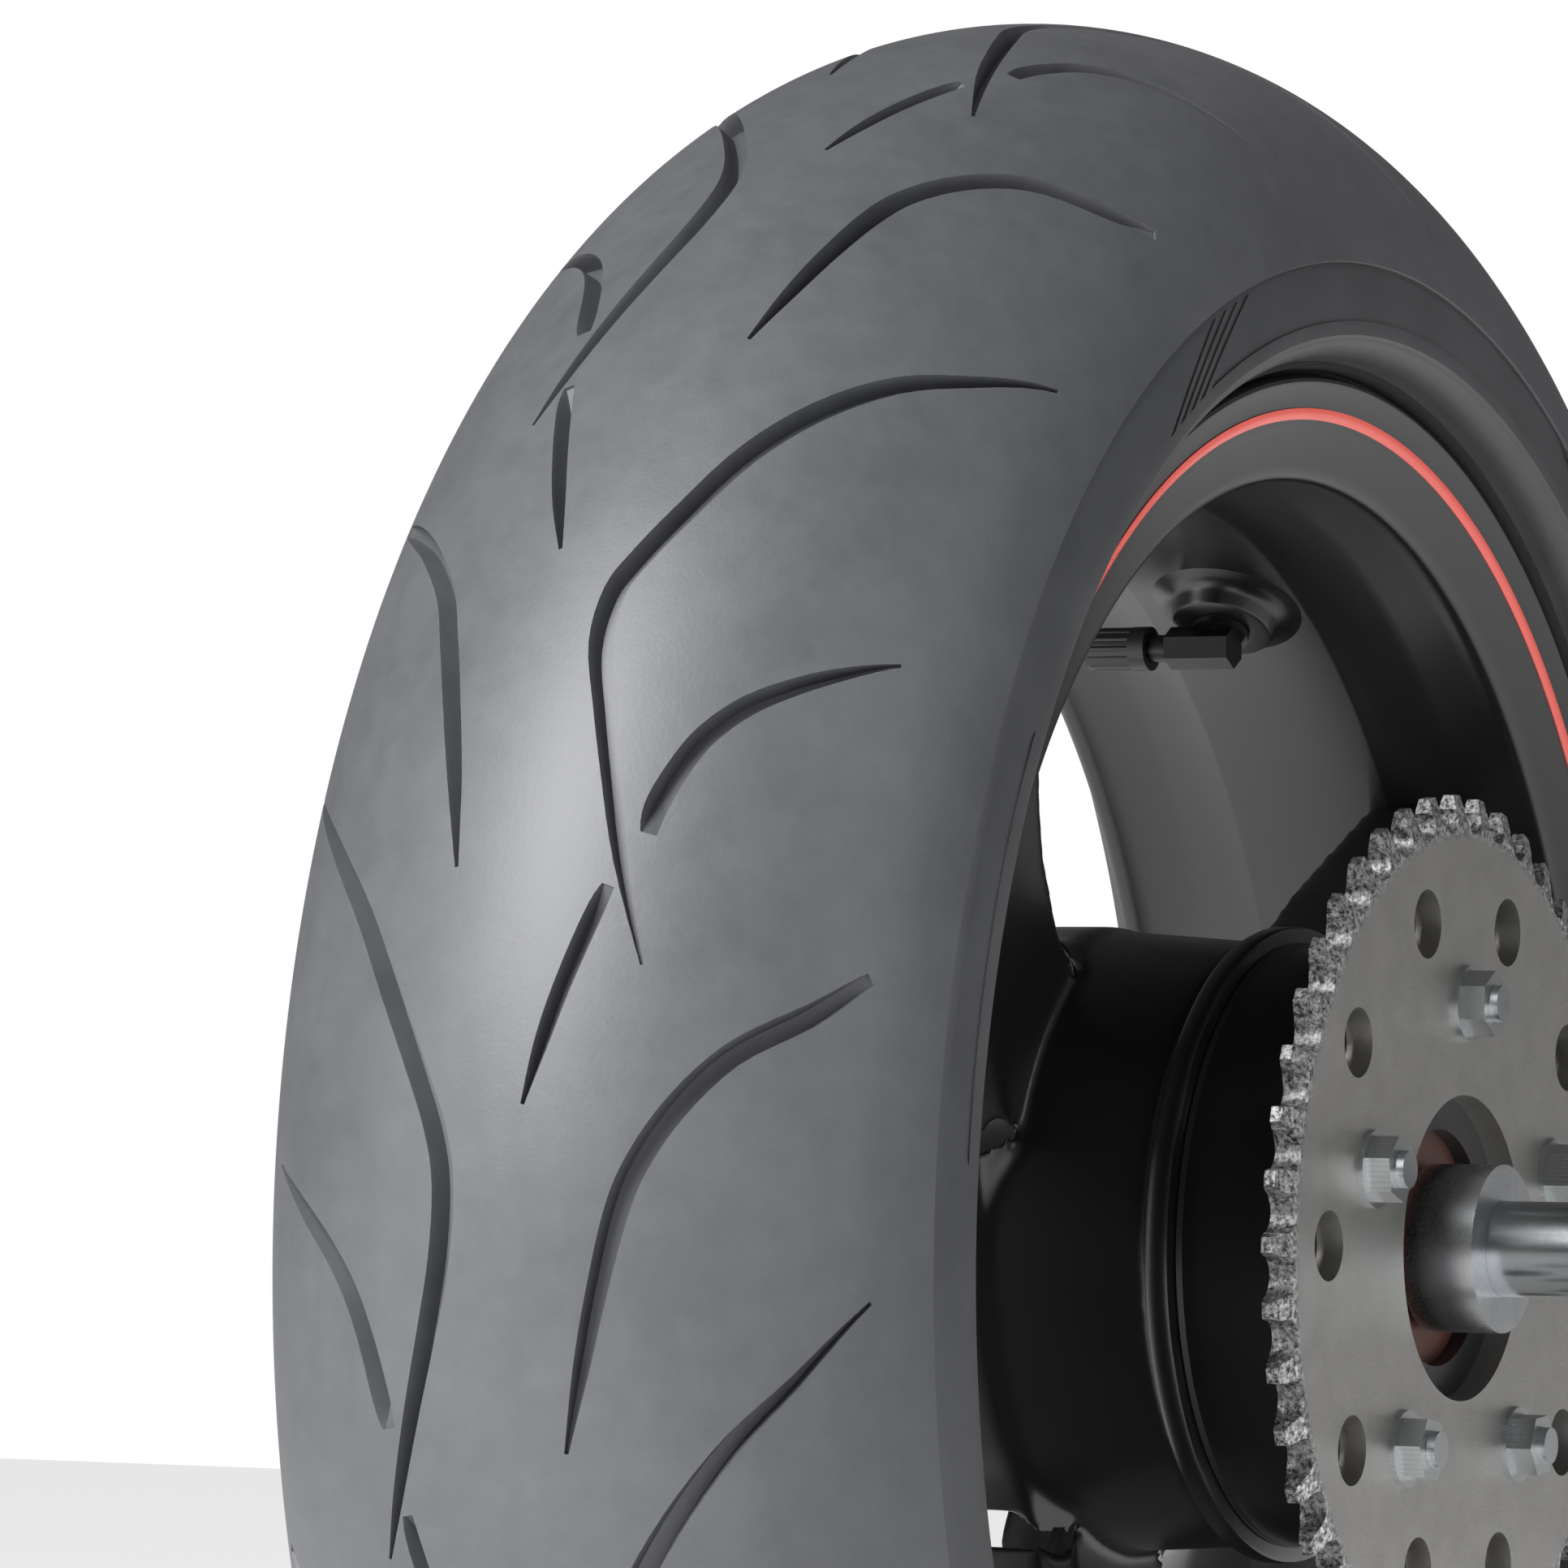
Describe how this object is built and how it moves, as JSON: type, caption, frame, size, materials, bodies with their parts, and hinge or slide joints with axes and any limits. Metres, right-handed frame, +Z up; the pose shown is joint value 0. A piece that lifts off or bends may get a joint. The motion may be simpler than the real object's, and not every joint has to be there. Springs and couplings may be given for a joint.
{
  "type": "motorcycle rear wheel with tyre",
  "caption": "Radial rear motorcycle tyre on a cast spoked wheel with bearings, cushion drive, chain sprocket and axle; turns on its axle.",
  "frame": {"origin": "on the axle, at the middle of the tyre's width", "axes": "+Y along the axle towards the brake-disc side, -Y the sprocket side, +Z up, -X and +X across the wheel"},
  "size_m": [0.6499, 0.322, 0.65],
  "materials": {
    "tread_rubber": "satin moulded tread rubber",
    "sidewall_rubber": "satin moulded sidewall rubber",
    "inner_rubber": "matt butyl rubber",
    "filler_rubber": "hard matt rubber",
    "rubberised_cord": "textile cord in rubber",
    "brassed_steel_cord": "brass-plated steel cord",
    "belt_ply": "brass-plated steel cord in rubber",
    "black_cast_aluminium": "satin black enamel over cast aluminium",
    "stripe_film": "gloss vinyl film",
    "black_brass": "black-plated brass",
    "cap_plastic": "moulded black nylon",
    "pin_brass": "bright brass",
    "bearing_steel": "ground bearing steel",
    "cage_steel": "pressed steel",
    "seal_rubber": "nitrile rubber",
    "cush_rubber": "moulded damper rubber",
    "sprocket_steel": "worn hardened steel",
    "zinc_steel": "zinc-plated steel",
    "turned_aluminium": "turned aluminium",
    "axle_steel": "ground steel"
  },
  "bodies": {
    "axle_group": {"axle": "axle_steel", "axle_nut": "zinc_steel", "axle_washer": "zinc_steel", "collar_left": "turned_aluminium", "collar_right": "turned_aluminium", "spacer_tube": "turned_aluminium", "carrier_collar": "turned_aluminium", "inner_race_left": "bearing_steel", "inner_race_right": "bearing_steel", "carrier_inner_race": "bearing_steel"},
    "wheel": {"tread": "tread_rubber", "belt": "belt_ply", "carcass_ply": "rubberised_cord", "inner_liner": "inner_rubber", "sidewall_left": "sidewall_rubber", "sidewall_right": "sidewall_rubber", "bead_wire_left": "brassed_steel_cord", "bead_wire_right": "brassed_steel_cord", "bead_filler_left": "filler_rubber", "bead_filler_right": "filler_rubber", "chafer_left": "sidewall_rubber", "chafer_right": "sidewall_rubber", "cast_wheel": "black_cast_aluminium", "rim_stripe_left": "stripe_film", "rim_stripe_right": "stripe_film", "valve_body": "black_brass", "valve_seal": "inner_rubber", "valve_nut": "black_brass", "outer_race_left": "bearing_steel", "outer_race_right": "bearing_steel", "oil_seal_right": "seal_rubber", "cush_dampers": "cush_rubber"},
    "cap": {"valve_cap": "cap_plastic"},
    "pin": {"valve_pin": "pin_brass"},
    "carrier": {"sprocket_carrier": "black_cast_aluminium", "carrier_outer_race": "bearing_steel", "carrier_seal": "seal_rubber", "sprocket": "sprocket_steel", "sprocket_studs": "zinc_steel", "sprocket_nuts": "zinc_steel"},
    "balls_left": {"ball_set_left": "bearing_steel", "ball_cage_left": "cage_steel"},
    "balls_right": {"ball_set_right": "bearing_steel", "ball_cage_right": "cage_steel"},
    "balls_carrier": {"carrier_ball_set": "bearing_steel", "carrier_ball_cage": "cage_steel"}
  },
  "joints": [
    {"name": "wheel_spin", "type": "hinge", "parent": "axle_group", "child": "wheel", "pos_m": [0, 0, 0], "axis": [0, 1, 0], "continuous": true},
    {"name": "cush_twist", "type": "hinge", "parent": "wheel", "child": "carrier", "pos_m": [0, 0, 0], "axis": [0, 1, 0], "range_deg": [-2.5, 2.5], "stiffness_Nm_per_rad": 900, "deforming": ["cush_dampers"]},
    {"name": "cap_unscrew", "type": "slide", "parent": "wheel", "child": "cap", "axis": [0, 1, 0], "range_m": [0, 0.016]},
    {"name": "core_pin_press", "type": "slide", "parent": "wheel", "child": "pin", "axis": [0, 1, 0], "range_m": [-0.0015, 0], "stiffness_N_per_m": 400},
    {"name": "balls_left_roll", "type": "hinge", "parent": "axle_group", "child": "balls_left", "pos_m": [0, -0.0325, 0], "axis": [0, 1, 0], "continuous": true},
    {"name": "balls_right_roll", "type": "hinge", "parent": "axle_group", "child": "balls_right", "pos_m": [0, 0.0515, 0], "axis": [0, 1, 0], "continuous": true},
    {"name": "balls_carrier_roll", "type": "hinge", "parent": "axle_group", "child": "balls_carrier", "pos_m": [0, -0.0885, 0], "axis": [0, 1, 0], "continuous": true}
  ],
  "couplings": [
    {"joint": "balls_left_roll", "follows": "wheel_spin", "ratio": 0.6017},
    {"joint": "balls_right_roll", "follows": "wheel_spin", "ratio": 0.6017},
    {"joint": "balls_carrier_roll", "follows": "wheel_spin", "ratio": 0.6233}
  ]
}
